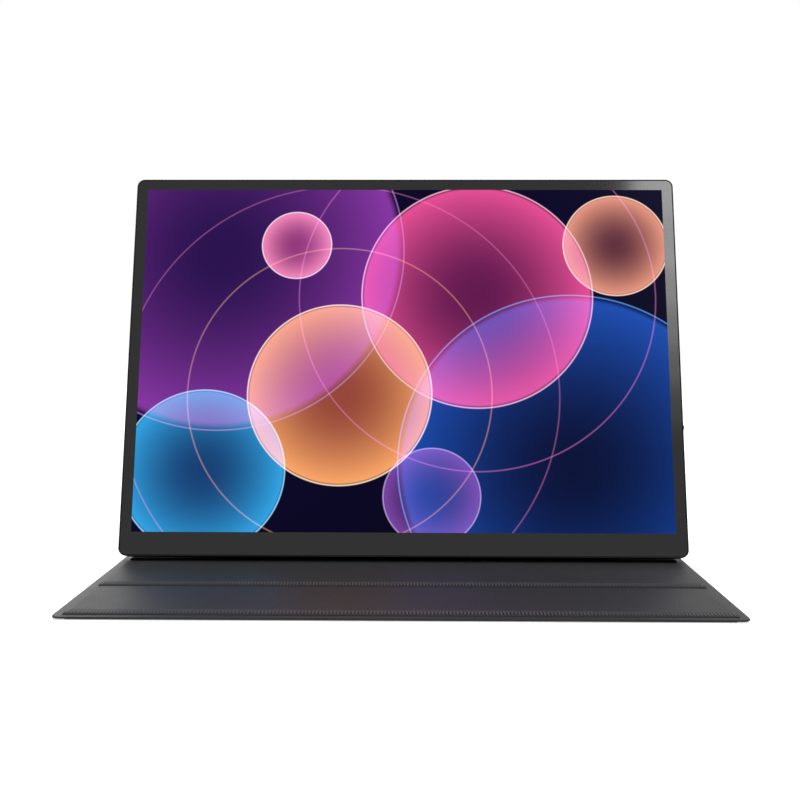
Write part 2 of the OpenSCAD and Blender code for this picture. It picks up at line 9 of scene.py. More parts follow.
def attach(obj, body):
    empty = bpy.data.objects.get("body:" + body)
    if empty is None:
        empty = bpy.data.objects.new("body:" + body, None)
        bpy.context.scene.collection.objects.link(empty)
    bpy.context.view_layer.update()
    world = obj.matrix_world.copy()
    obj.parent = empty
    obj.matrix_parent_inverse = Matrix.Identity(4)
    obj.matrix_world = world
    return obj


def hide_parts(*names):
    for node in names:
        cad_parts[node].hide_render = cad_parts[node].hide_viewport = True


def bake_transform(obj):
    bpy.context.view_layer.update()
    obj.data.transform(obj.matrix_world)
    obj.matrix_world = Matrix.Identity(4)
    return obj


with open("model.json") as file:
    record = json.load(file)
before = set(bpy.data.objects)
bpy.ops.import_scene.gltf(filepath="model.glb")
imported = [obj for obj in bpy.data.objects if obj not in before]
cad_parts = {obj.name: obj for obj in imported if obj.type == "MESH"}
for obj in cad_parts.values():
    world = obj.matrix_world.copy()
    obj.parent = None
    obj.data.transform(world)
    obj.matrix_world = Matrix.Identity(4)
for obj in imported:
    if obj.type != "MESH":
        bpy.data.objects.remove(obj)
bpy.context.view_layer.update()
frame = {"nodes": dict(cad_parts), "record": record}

# A portable touch monitor standing on its folding leather cover.
# Lengths are in millimetres and are turned into metres by MM, but for the studio's, which are
# in metres already. In a panel's own frame, y runs up the panel and z from its outer face inwards.

MM = 0.001
NEAR = 0.01                         # how close a point must lie to a level to count as on it

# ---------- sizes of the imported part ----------

TILT = math.radians(75)             # slope of the glass
LEAN = math.radians(15)             # what is left of it to the upright
GLASS_Z = 4.2575                    # foot of the glass, over the ground
PICTURE = (221.9, 147.9)            # width and height of the picture
PICTURE_LOW = 9.2                   # from the foot of the glass to the picture
BODY_TOP = 161.8                    # top of the head panel, up the monitor's back
PANEL_D = 10.8                      # outer face of the cover, behind the glass

COVER_HALF = 115.0                  # half the cover's width
SKIN = 0.4                          # outer leather
LINING = 0.4                        # leather on the inner side
FLAP_BOARD = 0.6                    # board in the flap and the spine
BACK_BOARD = 1.2                    # board in the strut and the head panel
SIDE_MARGIN = 4.6                   # leather past the boards, at the sides
END_MARGIN = 1.6                    # and at a free end
CORNER = 3.0                        # rounding of the free corners

FLAP_FRONT = -92.0                  # front edge of the flap
FLAP_HINGE = (71.65, 0.4)           # y and z of the fold between flap and spine
REAR_HINGE = (83.35, 0.4)           # y and z of the fold between spine and strut
HINGE_V = -1.85                     # the same fold, up the strut
HINGE_D = 10.4                      # and behind the glass when the strut lies on the back
FOLD_V = 140.688                    # fold between strut and head panel, up the strut

FLAP_GUTTER = 2.5                   # from a fold's line to the boards beside it
SPINE_GUTTER = 3.3
STRUT_GUTTER = 2.5
FOLD_GUTTER = 1.8

STRIP_HALF = 111.6                  # half the length of a grip strip
STRIP_W = 7.0
STRIP_TOP = 0.45                    # its height over the lining
STRIPS = {"grip_strip_rear": 5.947, "grip_strip_middle": -42.0, "grip_strip_front": -86.0}
RIB = 0.15                          # height of its ribs, as part of STRIP_TOP
RIB_TOP = FLAP_BOARD + SKIN + LINING + STRIP_TOP

# ---------- frames of the panels ----------

FLAT = Matrix.Identity(4)
SCREEN = Matrix.Translation((0, 0, GLASS_Z * MM)) @ Matrix.Rotation(TILT, 4, "X")
BACK = SCREEN @ Matrix.Translation((0, 0, -PANEL_D * MM))
STRUT = (Matrix.Translation((0, REAR_HINGE[0] * MM, REAR_HINGE[1] * MM))
         @ Matrix.Rotation(math.pi / 2 + LEAN, 4, "X")
         @ Matrix.Translation((0, -HINGE_V * MM, (HINGE_D - PANEL_D) * MM)))


# ---------- modelling helpers ----------

SMOOTH_BELOW = math.radians(32)     # faces that meet at less are shaded as one
BEVEL_ABOVE = math.radians(38)      # edges sharper than this are softened


def select_only(obj):
    """Makes one object the selected and active one."""
    bpy.ops.object.select_all(action="DESELECT")
    obj.select_set(True)
    bpy.context.view_layer.objects.active = obj


def edit(obj):
    """Opens one object for editing, with nothing else selected."""
    if bpy.context.object and bpy.context.object.mode != "OBJECT":
        bpy.ops.object.mode_set(mode="OBJECT")
    select_only(obj)
    bpy.ops.object.mode_set(mode="EDIT")


def leave_edit():
    bpy.ops.object.mode_set(mode="OBJECT")


def pick(obj, kind, test):
    """Selects the vertices, edges or faces whose middle (in mm) and direction pass the test."""
    bpy.ops.mesh.select_mode(type=kind)
    bpy.ops.mesh.select_all(action="DESELECT")
    mesh = bmesh.from_edit_mesh(obj.data)
    if kind == "VERT":
        for vert in mesh.verts:
            vert.select_set(test(vert.co / MM, None))
    elif kind == "EDGE":
        for edge in mesh.edges:
            a, b = (v.co / MM for v in edge.verts)
            edge.select_set(test((a + b) / 2, (b - a).normalized()))
    else:
        for face in mesh.faces:
            face.select_set(test(face.calc_center_median() / MM, face.normal))
    bmesh.update_edit_mesh(obj.data)


def move(vector):
    """Moves what is selected, by millimetres."""
    bpy.ops.transform.translate(value=[c * MM for c in vector])


def block(name, x_half, y0, y1, z0, z1):
    """A block with its place in its mesh, left open for editing."""
    if bpy.context.object and bpy.context.object.mode != "OBJECT":
        leave_edit()
    bpy.ops.object.select_all(action="DESELECT")
    bpy.ops.mesh.primitive_cube_add(
        size=1, location=(0, (y0 + y1) / 2 * MM, (z0 + z1) / 2 * MM),
        scale=(2 * x_half * MM, (y1 - y0) * MM, (z1 - z0) * MM))
    obj = bpy.context.object
    obj.name = obj.data.name = name
    bpy.ops.object.transform_apply(location=True, rotation=True, scale=True)
    edit(obj)
    return obj


def profile(name, points, start, along):
    """A bar: its outline is drawn point by point, filled and extruded along one direction."""
    bpy.ops.object.select_all(action="DESELECT")
    bpy.ops.mesh.primitive_plane_add(size=MM, location=(0, 0, 0))
    obj = bpy.context.object
    obj.name = obj.data.name = name
    edit(obj)
    bpy.ops.mesh.select_all(action="SELECT")
    bpy.ops.mesh.merge(type="CENTER")
    bpy.ops.mesh.select_mode(type="VERT")
    bpy.ops.mesh.select_all(action="SELECT")
    move(Vector(start) + Vector(points[0]))
    for before, after in zip(points, points[1:]):
        step = (Vector(after) - Vector(before)) * MM
        bpy.ops.mesh.extrude_vertices_move(TRANSFORM_OT_translate={"value": step})
    bpy.ops.mesh.select_all(action="SELECT")
    bpy.ops.mesh.edge_face_add()
    bpy.ops.mesh.select_all(action="SELECT")
    bpy.ops.mesh.extrude_region_move(
        TRANSFORM_OT_translate={"value": Vector(along) * MM})
    bpy.ops.mesh.select_all(action="SELECT")
    bpy.ops.mesh.normals_make_consistent(inside=False)
    return obj


def cut(point, normal, trim=True):
    """Cuts the mesh being edited with a plane. What lies beyond it is cleared."""
    bpy.ops.mesh.select_all(action="SELECT")
    bpy.ops.mesh.bisect(plane_co=[c * MM for c in point], plane_no=normal,
                        use_fill=trim, clear_outer=trim, clear_inner=False)


def modify(obj, kind, **settings):
    """Adds a modifier and applies it."""
    select_only(obj)
    modifier = obj.modifiers.new(kind.lower(), kind)
    for key, value in settings.items():
        setattr(modifier, key, value)
    bpy.ops.object.modifier_apply(modifier=modifier.name)


def soften(obj, width):
    """Rounds all sharp edges a little."""
    leave_edit()
    modify(obj, "BEVEL", width=width * MM, segments=2, limit_method="ANGLE",
           angle_limit=BEVEL_ABOVE)


def settle(obj, place, material, nodes=()):
    """Puts a finished piece in its place with its material, and hides the nodes it stands for."""
    if obj.mode != "OBJECT":
        leave_edit()
    select_only(obj)
    obj.matrix_world = place
    bpy.ops.object.transform_apply(location=True, rotation=True, scale=True)
    bpy.ops.object.shade_smooth_by_angle(angle=SMOOTH_BELOW)
    obj.data.materials.clear()
    obj.data.materials.append(material)
    if nodes:
        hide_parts(*nodes)


# ---------- material helpers ----------

def add_node(tree, kind, inputs=None, **settings):
    """A node with its settings, and its inputs set or linked."""
    made = tree.nodes.new(kind)
    for key, value in settings.items():
        setattr(made, key, value)
    for key, value in (inputs or {}).items():
        if isinstance(value, bpy.types.NodeSocket):
            tree.links.new(value, made.inputs[key])
        else:
            made.inputs[key].default_value = value
    return made


def math_node(tree, operation, *values, clamp=False):
    """The result of a sum over numbers and sockets."""
    return add_node(tree, "ShaderNodeMath", dict(enumerate(values)), operation=operation,
                    use_clamp=clamp).outputs[0]


def new_group(name, inputs, outputs):
    """A node group with its input and output nodes."""
    group = bpy.data.node_groups.new(name, "ShaderNodeTree")
    for label, kind, value in inputs:
        socket = group.interface.new_socket(label, in_out="INPUT", socket_type=kind)
        if value is not None:
            socket.default_value = value
    for label, kind in outputs:
        group.interface.new_socket(label, in_out="OUTPUT", socket_type=kind)
    return group, group.nodes.new("NodeGroupInput"), group.nodes.new("NodeGroupOutput")


FLOAT, VECTOR, COLOUR = "NodeSocketFloat", "NodeSocketVector", "NodeSocketColor"
WARP = 0.0006                       # metres by which the leather's pebbles are bent
RUB_WIDTH = 0.0009                  # metres of wear at an edge


def fine_grain_group():
    """Fine speckle of a painted, moulded or blasted surface, with broad unevenness under it."""
    group, given, made = new_group(
        "fine_grain", [("Vector", VECTOR, None), ("Grains per metre", FLOAT, 3000.0)],
        [("Tone", FLOAT), ("Height", FLOAT)])
    fine = add_node(group, "ShaderNodeTexNoise", {
        "Vector": given.outputs["Vector"], "Scale": given.outputs["Grains per metre"],
        "Detail": 3.0, "Roughness": 0.6})
    broad = add_node(group, "ShaderNodeTexNoise", {
        "Vector": given.outputs["Vector"], "Scale": 45.0, "Detail": 4.0})
    tone = math_node(group, "MULTIPLY_ADD", broad.outputs["Fac"], 0.6,
                     math_node(group, "MULTIPLY", fine.outputs["Fac"], 0.4))
    group.links.new(tone, made.inputs["Tone"])
    group.links.new(fine.outputs["Fac"], made.inputs["Height"])
    return group


def leather_grain_group():
    """Pebbles of pressed leather with creases between them, the tone darker in the creases as
    painted shade, and a slow random change of tone.
    """
    group, given, made = new_group(
        "leather_grain", [("Vector", VECTOR, None), ("Pebbles per metre", FLOAT, 1300.0)],
        [("Tone", FLOAT), ("Height", FLOAT)])
    warp = add_node(group, "ShaderNodeTexNoise", {
        "Vector": given.outputs["Vector"], "Scale": 900.0, "Detail": 2.0})
    bent = add_node(group, "ShaderNodeVectorMath", {
        0: warp.outputs["Color"], 1: (WARP, WARP, WARP)}, operation="MULTIPLY")
    place = add_node(group, "ShaderNodeVectorMath", {
        0: given.outputs["Vector"], 1: bent.outputs[0]}, operation="ADD")
    cells = add_node(group, "ShaderNodeTexVoronoi", {
        "Vector": place.outputs[0], "Scale": given.outputs["Pebbles per metre"]},
        feature="DISTANCE_TO_EDGE")
    crease = add_node(group, "ShaderNodeMapRange", {
        "Value": cells.outputs["Distance"], "From Min": 0.0, "From Max": 0.28,
        "To Min": 0.0, "To Max": 1.0}, interpolation_type="SMOOTHSTEP")
    pores = add_node(group, "ShaderNodeTexNoise", {
        "Vector": given.outputs["Vector"], "Scale": 5200.0, "Detail": 2.0})
    height = math_node(group, "MULTIPLY_ADD", pores.outputs["Fac"], 0.35, crease.outputs[0])
    broad = add_node(group, "ShaderNodeTexNoise", {
        "Vector": given.outputs["Vector"], "Scale": 28.0, "Detail": 5.0,
        "Roughness": 0.65})
    # Painted shade: the tone is lowered in the creases between the pebbles.
    tone = math_node(group, "MULTIPLY_ADD", crease.outputs[0], 0.3,
                     math_node(group, "MULTIPLY", broad.outputs["Fac"], 0.7))
    group.links.new(tone, made.inputs["Tone"])
    group.links.new(height, made.inputs["Height"])
    return group


def rubbed_edge_group():
    """Mask of slight wear where |x| comes near an edge, broken up by noise."""
    group, given, made = new_group(
        "rubbed_edge", [("Vector", VECTOR, None), ("Edge", FLOAT, COVER_HALF * MM)],
        [("Mask", FLOAT)])
    parts = add_node(group, "ShaderNodeSeparateXYZ", {0: given.outputs["Vector"]})
    across = math_node(group, "ABSOLUTE", parts.outputs["X"])
    depth = math_node(group, "SUBTRACT", given.outputs["Edge"], across)
    near = add_node(group, "ShaderNodeMapRange", {
        "Value": depth, "From Min": 0.0, "From Max": RUB_WIDTH,
        "To Min": 1.0, "To Max": 0.0}, interpolation_type="SMOOTHSTEP")
    patches = add_node(group, "ShaderNodeTexNoise", {
        "Vector": given.outputs["Vector"], "Scale": 160.0, "Detail": 4.0})
    broken = add_node(group, "ShaderNodeMapRange", {
        "Value": patches.outputs["Fac"], "From Min": 0.42, "From Max": 0.7,
        "To Min": 0.15, "To Max": 1.0})
    group.links.new(math_node(group, "MULTIPLY", near.outputs[0], broken.outputs[0]),
                    made.inputs["Mask"])
    return group


def soft_disc_group():
    """A glowing translucent disc with a fine bright rim, laid over the colour below it."""
    group, given, made = new_group("soft_disc", [
        ("Below", COLOUR, None), ("Vector", VECTOR, None),
        ("Centre", VECTOR, (0.0, 0.0, 0.0)), ("Radius", FLOAT, 0.5),
        ("Middle", COLOUR, (1, 1, 1, 1)), ("Border", COLOUR, (1, 1, 1, 1)),
        ("Rim", COLOUR, (1, 1, 1, 1)), ("Blur", FLOAT, 0.03)], [("Colour", COLOUR)])
    out = given.outputs
    away = add_node(group, "ShaderNodeVectorMath", {
        0: out["Vector"], 1: out["Centre"]}, operation="DISTANCE")
    share = math_node(group, "DIVIDE", away.outputs["Value"], out["Radius"])
    inner = math_node(group, "SUBTRACT", 1.0, out["Blur"])
    body = add_node(group, "ShaderNodeMapRange", {
        "Value": share, "From Min": inner, "From Max": 1.0, "To Min": 1.0,
        "To Max": 0.0}, interpolation_type="SMOOTHSTEP")
    ramp = math_node(group, "POWER", share, 2.2, clamp=True)
    fill = add_node(group, "ShaderNodeMix", {
        "Factor": ramp, 6: out["Middle"], 7: out["Border"]}, data_type="RGBA")
    lit = add_node(group, "ShaderNodeMix", {
        "Factor": body.outputs[0], 6: out["Below"], 7: fill.outputs[2]},
        data_type="RGBA", blend_type="SCREEN")
    off = math_node(group, "ABSOLUTE", math_node(group, "SUBTRACT", share, 1.0))
    width = math_node(group, "DIVIDE", 0.007, out["Radius"])
    line = add_node(group, "ShaderNodeMapRange", {
        "Value": off, "From Min": 0.0, "From Max": width, "To Min": 1.0,
        "To Max": 0.0}, interpolation_type="SMOOTHSTEP")
    rimmed = add_node(group, "ShaderNodeMix", {
        "Factor": line.outputs[0], 6: lit.outputs[2], 7: out["Rim"]},
        data_type="RGBA", blend_type="ADD")
    group.links.new(rimmed.outputs[2], made.inputs["Colour"])
    return group


FINE_GRAIN = fine_grain_group()
LEATHER_GRAIN = leather_grain_group()
RUBBED_EDGE = rubbed_edge_group()
SOFT_DISC = soft_disc_group()


def new_material(name):
    """A material with its tree, its shader and the place of a point in the object."""
    material = bpy.data.materials.new(name)
    material.use_nodes = True
    tree = material.node_tree
    shader = next(n for n in tree.nodes if n.type == "BSDF_PRINCIPLED")
    place = add_node(tree, "ShaderNodeTexCoord").outputs["Object"]
    return material, tree, shader, place


def between(tree, factor, low, high):
    """A number that runs from low to high with the factor."""
    return add_node(tree, "ShaderNodeMapRange", {
        "Value": factor, "To Min": low, "To Max": high}).outputs[0]


def shade(colour, factor):
    """The colour times a factor, with its alpha."""
    return tuple(min(1.0, c * factor) for c in colour) + (1.0,)


def tinted(tree, factor, colour, spread):
    """The colour, a little darker or lighter with the factor."""
    return add_node(tree, "ShaderNodeMix", {
        "Factor": factor, 6: shade(colour, 1 - spread), 7: shade(colour, 1 + spread)},
        data_type="RGBA").outputs[2]


def grained(name, colour, roughness, metallic=0.0, grains=3000.0, spread=0.12,
            relief=0.006, specular=0.5, rough_spread=0.06):
    """Paint, moulded plastic, film or metal with its own fine grain."""
    material, tree, shader, place = new_material(name)
    grain = add_node(tree, "ShaderNodeGroup", node_tree=FINE_GRAIN)
    tree.links.new(place, grain.inputs["Vector"])
    grain.inputs["Grains per metre"].default_value = grains
    tone = grain.outputs["Tone"]
    tree.links.new(tinted(tree, tone, colour, spread), shader.inputs["Base Color"])
    tree.links.new(between(tree, tone, roughness - rough_spread, roughness + rough_spread),
                   shader.inputs["Roughness"])
    bump = add_node(tree, "ShaderNodeBump", {
        "Height": grain.outputs["Height"], "Strength": 0.5, "Distance": relief * MM})
    tree.links.new(bump.outputs[0], shader.inputs["Normal"])
    shader.inputs["Metallic"].default_value = metallic
    shader.inputs["Specular IOR Level"].default_value = specular
    return material


def leather(name, colour, roughness, specular, pebbles=1100.0):
    """Fine-grained synthetic leather, slightly rubbed at the sides."""
    material, tree, shader, place = new_material(name)
    grain = add_node(tree, "ShaderNodeGroup", node_tree=LEATHER_GRAIN)
    tree.links.new(place, grain.inputs["Vector"])
    grain.inputs["Pebbles per metre"].default_value = pebbles
    rub = add_node(tree, "ShaderNodeGroup", node_tree=RUBBED_EDGE)
    tree.links.new(place, rub.inputs["Vector"])
    rub.inputs["Edge"].default_value = COVER_HALF * MM
    # The grain's tone, with its painted shade in the creases, sets the base colour.
    tone = grain.outputs["Tone"]
    worn = add_node(tree, "ShaderNodeMix", {
        "Factor": rub.outputs["Mask"], 6: tinted(tree, tone, colour, 0.16),
        7: shade(colour, 1.9)}, data_type="RGBA")
    tree.links.new(worn.outputs[2], shader.inputs["Base Color"])
    tree.links.new(between(tree, tone, roughness + 0.06, roughness - 0.06),
                   shader.inputs["Roughness"])
    bump = add_node(tree, "ShaderNodeBump", {
        "Height": grain.outputs["Height"], "Strength": 0.5, "Distance": 0.05 * MM})
    tree.links.new(bump.outputs[0], shader.inputs["Normal"])
    shader.inputs["Specular IOR Level"].default_value = specular
    return material


def grip_rubber(name, colour, top):
    """Dark rubber whose rib tops are painted paler by their height over the ground: a painted
    highlight where light catches the ribs.
    """
    material = grained(name, colour, 0.55, grains=3600, relief=0.01, specular=0.2)
    tree = material.node_tree
    shader = next(n for n in tree.nodes if n.type == "BSDF_PRINCIPLED")
    dark = shader.inputs["Base Color"].links[0].from_socket
    place = next(n for n in tree.nodes if n.type == "TEX_COORD").outputs["Object"]
    # Painted highlight: the rib tops take the paler top colour, set by their height.
    height = add_node(tree, "ShaderNodeSeparateXYZ", {0: place}).outputs["Z"]
    upper = add_node(tree, "ShaderNodeMapRange", {
        "Value": height, "From Min": (RIB_TOP - RIB * 0.45) * MM, "From Max": RIB_TOP * MM})
    mixed = add_node(tree, "ShaderNodeMix", {
        "Factor": upper.outputs[0], 6: dark, 7: (*top, 1)}, data_type="RGBA")
    tree.links.new(mixed.outputs[2], shader.inputs["Base Color"])
    return material


# ---------- the picture on the screen ----------

# The picture is 3 wide and 2 high, with its middle at (0, 0).
BLACK = (0, 0, 0)
ORANGE_CENTRE = (-0.36, -0.22)
PINK_CENTRE = (0.42, 0.36)
RING_BLUR = 0.02

DISCS = [  # centre, radius, colours of middle, border and rim, blur
    ((-1.05, 0.62), 1.05, (0.020, 0.004, 0.060), (0.26, 0.04, 0.38), (0.28, 0.14, 0.42), 0.05),
    ((0.95, -0.62), 0.98, (0.001, 0.005, 0.030), (0.01, 0.08, 0.46), (0.08, 0.25, 0.70), 0.04),
    (PINK_CENTRE, 0.66, (0.120, 0.008, 0.060), (0.82, 0.08, 0.30), (0.90, 0.45, 0.60), 0.03),
    (ORANGE_CENTRE, 0.52, (0.300, 0.060, 0.020), (1.00, 0.40, 0.13), (1.00, 0.75, 0.50), 0.03),
    ((-1.12, -0.66), 0.46, (0.006, 0.050, 0.160), (0.03, 0.38, 0.80), (0.30, 0.65, 0.95), 0.03),
    ((1.22, 0.66), 0.30, (0.120, 0.030, 0.030), (0.85, 0.33, 0.22), (1.00, 0.70, 0.55), 0.04),
    ((0.16, -0.80), 0.27, (0.020, 0.006, 0.050), (0.20, 0.06, 0.38), (0.45, 0.30, 0.65), 0.04),
    ((-0.62, 0.66), 0.20, (0.250, 0.030, 0.090), (0.95, 0.25, 0.45), (1.00, 0.70, 0.80), 0.05),
]
RINGS = [  # centre, radius, colour
    (ORANGE_CENTRE, 0.86, (0.30, 0.14, 0.08)),
    (ORANGE_CENTRE, 1.24, (0.20, 0.06, 0.14)),
    (PINK_CENTRE, 1.02, (0.26, 0.07, 0.22)),
]


def lit_picture_material():
    """Overlapping glowing discs on a dark ground, shown by the screen itself."""
    material, tree, shader, place = new_material("lit_picture")
    centre_v = PICTURE_LOW + PICTURE[1] / 2
    half = PICTURE[1] / 2 * MM
    spot = add_node(tree, "ShaderNodeMapping", {
        "Vector": place,
        "Location": (0, centre_v * math.cos(TILT) * MM,
                     (GLASS_Z + centre_v * math.sin(TILT)) * MM),
        "Rotation": (TILT, 0, 0), "Scale": (half, half, half)}, vector_type="TEXTURE")
    flat = add_node(tree, "ShaderNodeVectorMath", {
        0: spot.outputs[0], 1: (1, 1, 0)}, operation="MULTIPLY").outputs[0]
    parts = add_node(tree, "ShaderNodeSeparateXYZ", {0: flat})
    slant = math_node(tree, "MULTIPLY_ADD", parts.outputs["X"], 0.22,
                      math_node(tree, "MULTIPLY", parts.outputs["Y"], -0.3))
    ground = add_node(tree, "ShaderNodeMix", {
        "Factor": between(tree, slant, 0.35, 1.2), 6: (0.004, 0.002, 0.030, 1),
        7: (0.001, 0.001, 0.004, 1)}, data_type="RGBA").outputs[2]
    unfilled = [(centre, radius, BLACK, BLACK, rim, RING_BLUR) for centre, radius, rim in RINGS]
    for centre, radius, middle, border, rim, blur in DISCS + unfilled:
        disc = add_node(tree, "ShaderNodeGroup", node_tree=SOFT_DISC)
        tree.links.new(ground, disc.inputs["Below"])
        tree.links.new(flat, disc.inputs["Vector"])
        disc.inputs["Centre"].default_value = (*centre, 0)
        disc.inputs["Radius"].default_value = radius
        for label, value in (("Middle", middle), ("Border", border), ("Rim", rim)):
            disc.inputs[label].default_value = (*value, 1)
        disc.inputs["Blur"].default_value = blur
        ground = disc.outputs["Colour"]
    tree.links.new(ground, shader.inputs["Emission Color"])
    shader.inputs["Emission Strength"].default_value = 1.0
    shader.inputs["Base Color"].default_value = (0.0005, 0.0005, 0.0005, 1)
    shader.inputs["Roughness"].default_value = 0.2
    shader.inputs["Specular IOR Level"].default_value = 0.01
    return material


# ---------- finishes, by the record's slots ----------

FINISHES = {
    "housing_black": grained("housing_black", (0.006, 0.006, 0.0065), 0.6, grains=4200,
                             relief=0.004, specular=0.1),
    "cover_glass": grained("cover_glass", (0.0012, 0.0012, 0.0013), 0.085, grains=900,
                           spread=0.05, relief=0.0, specular=0.385, rough_spread=0.008),
    "adhesive": grained("adhesive", (0.01, 0.01, 0.01), 0.8),
    "sensor_film": grained("sensor_film", (0.35, 0.38, 0.42), 0.25, spread=0.05),
    "cell": grained("cell", (0.02, 0.03, 0.06), 0.2, spread=0.05),
    "film": grained("film", (0.8, 0.8, 0.82), 0.45, spread=0.04),
    "lamp": grained("lamp", (0.85, 0.75, 0.35), 0.4, spread=0.08),
    "frame_plastic": grained("frame_plastic", (0.02, 0.02, 0.02), 0.55),
    "sheet_metal": grained("sheet_metal", (0.62, 0.62, 0.64), 0.35, 1.0, grains=2500),
    "tray_metal": grained("tray_metal", (0.6, 0.6, 0.62), 0.4, 1.0, grains=2000),
    "magnet": grained("magnet", (0.5, 0.5, 0.52), 0.32, 1.0, grains=5000),
    "circuit": grained("circuit", (0.01, 0.09, 0.05), 0.4, grains=1500, spread=0.25),
    "chip": grained("chip", (0.015, 0.015, 0.015), 0.6, grains=6000),
    "flex": grained("flex", (0.6, 0.24, 0.05), 0.35, grains=1200, spread=0.2),
    "pad": grained("pad", (0.12, 0.13, 0.15), 0.9, grains=2500, relief=0.03),
    "socket_metal": grained("socket_metal", (0.6, 0.6, 0.62), 0.28, 1.0, grains=3500,
                            relief=0.003),
    "switch": grained("switch", (0.6, 0.6, 0.6), 0.45),
    "board": grained("board", (0.28, 0.2, 0.13), 0.9, grains=2200, relief=0.03, spread=0.2),
    "leather": leather("leather", (0.013, 0.013, 0.0135), 0.5, 0.22),
    "lining": leather("lining", (0.0175, 0.0175, 0.019), 0.5, 0.23, pebbles=1250.0),
    # The grip's second colour is a painted highlight on its rib tops.
    "grip": grip_rubber("grip", (0.012, 0.012, 0.0125), (0.06, 0.06, 0.062)),
}

for entry in frame["record"]["subparts"]:
    obj = frame["nodes"][entry["node"]]
    obj.data.materials.clear()
    obj.data.materials.append(FINISHES[entry["material_slot"]])


# ---------- the cover ----------

SLOPE = 0.6                         # width of the slope from a margin up to the board
DIP = 0.16                          # by which the lining's margins lie lower
EXTRA = 8.0                         # made longer by this before an end is cut square
EDGE = 0.1                          # rounding of the leather's edges
INSIDE = 4                          # reach of the search for the middle face


def raise_middle(obj, level, low, high, rise, slope):
    """Insets the face at a level by the margins and moves what is inside it up or down."""
    side = SIDE_MARGIN - slope
    pick(obj, "FACE", lambda p, n: abs(p.z - level) < NEAR and abs(n.z) > 0.9)
    bpy.ops.mesh.inset(thickness=side * MM, depth=0)
    mesh = bmesh.from_edit_mesh(obj.data)
    inner = [v.co.y / MM for f in mesh.faces if f.select for v in f.verts]
    y0, y1 = min(inner), max(inner)
    half = COVER_HALF - side
    for y, margin, sign in ((y0, low, 1), (y1, high, -1)):
        pick(obj, "VERT", lambda p, n: abs(p.z - level) < NEAR and abs(p.y - y) < NEAR
             and abs(abs(p.x) - half) < NEAR)
        move((0, sign * (margin - SIDE_MARGIN), 0))
    pick(obj, "FACE", lambda p, n: abs(p.z - level) < NEAR and abs(n.z) > 0.9
         and abs(p.x) < NEAR and y0 - INSIDE < p.y < y1 + INSIDE
         and abs(p.y - (y0 + y1) / 2) < INSIDE)
    if slope:
        bpy.ops.mesh.inset(thickness=slope * MM, depth=0)
    move((0, 0, rise))


def round_corners(obj, ends):
    """Rounds the upright corner edges at the free ends."""
    pick(obj, "EDGE", lambda p, d: abs(d.z) > 0.99 and abs(abs(p.x) - COVER_HALF) < NEAR
         and any(abs(p.y - end) < NEAR for end in ends))
    bpy.ops.mesh.bevel(offset=CORNER * MM, segments=6, affect="EDGES")


def panel(name, y0, y1, board, free_low, free_high, place, body):
    """Lining and outer skin of one stiff panel. An end that is not free is cut square,
    where the soft gutter goes on."""
    a0 = y0 if free_low else y0 - EXTRA
    a1 = y1 if free_high else y1 + EXTRA
    low = END_MARGIN if free_low else SIDE_MARGIN
    high = END_MARGIN if free_high else SIDE_MARGIN
    ends = ([a0] if free_low else []) + ([a1] if free_high else [])
    for layer in ("lining", "skin"):
        if layer == "lining":
            base = board + SKIN
            margin_top = base + LINING - DIP
            obj = block(f"{name}_{layer}_leather", COVER_HALF, a0, a1, base, margin_top)
            raise_middle(obj, margin_top, low, high, DIP, SLOPE)
        else:
            obj = block(f"{name}_{layer}_leather", COVER_HALF, a0, a1, board, board + SKIN)
            raise_middle(obj, board, low, high, -board, SLOPE)
            raise_middle(obj, board + SKIN, low, high, -board, 0)
        if ends:
            round_corners(obj, ends)
        soften(obj, EDGE)
        edit(obj)
        if not free_low:
            cut((0, y0, 0), (0, -1, 0))
        if not free_high:
            cut((0, y1, 0), (0, 1, 0))
        slot = "leather" if layer == "skin" else "lining"
        settle(obj, place, FINISHES[slot], [f"{name}_{layer}"])
        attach(obj, body)


flap_end = FLAP_HINGE[0] - FLAP_GUTTER + SKIN
spine_start = FLAP_HINGE[0] + FLAP_GUTTER - SKIN
spine_end = REAR_HINGE[0] - SPINE_GUTTER + SKIN
strut_start = HINGE_V + STRUT_GUTTER - SKIN
strut_end = FOLD_V - FOLD_GUTTER + SKIN
head_start = FOLD_V + FOLD_GUTTER - SKIN

panel("flap", FLAP_FRONT, flap_end, FLAP_BOARD, True, False, FLAT, "front_flap")
panel("spine", spine_start, spine_end, FLAP_BOARD, False, False, FLAT, "spine")
panel("strut", strut_start, strut_end, BACK_BOARD, False, False, STRUT, "strut")
panel("head", head_start, BODY_TOP, BACK_BOARD, False, True, BACK, "head_panel")


# ---------- soft gutters that cross the joints ----------

SIDE_ZONE = COVER_HALF - SIDE_MARGIN + SKIN


def along(place, s, z):
    """World point (in mm) of a height s and level z in a panel's own frame."""
    return place @ (Vector((0, s, z)) * MM) / MM


def heading(place, s, z):
    """World direction of a step s up a panel and z off its outer face."""
    return place.to_3x3() @ Vector((0, s, z))


def gutter(name, points, pulls, nodes):
    """A soft strip across a fold. Pulls thin its ends at the sides, where no board is."""
    obj = profile(name, points, (-COVER_HALF, 0, 0), (2 * COVER_HALF, 0, 0))
    for side in (-1, 1):
        cut((side * (SIDE_ZONE - SLOPE), 0, 0), (1, 0, 0), trim=False)
        cut((side * SIDE_ZONE, 0, 0), (1, 0, 0), trim=False)
    for point, vector in pulls:
        target = Vector(point)
        pick(obj, "VERT", lambda p, n: abs(p.x) > SIDE_ZONE - NEAR
             and abs(p.y - target.y) < NEAR and abs(p.z - target.z) < NEAR)
        move(vector)
    leave_edit()
    settle(obj, FLAT, FINISHES["leather"], nodes)
    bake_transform(obj)


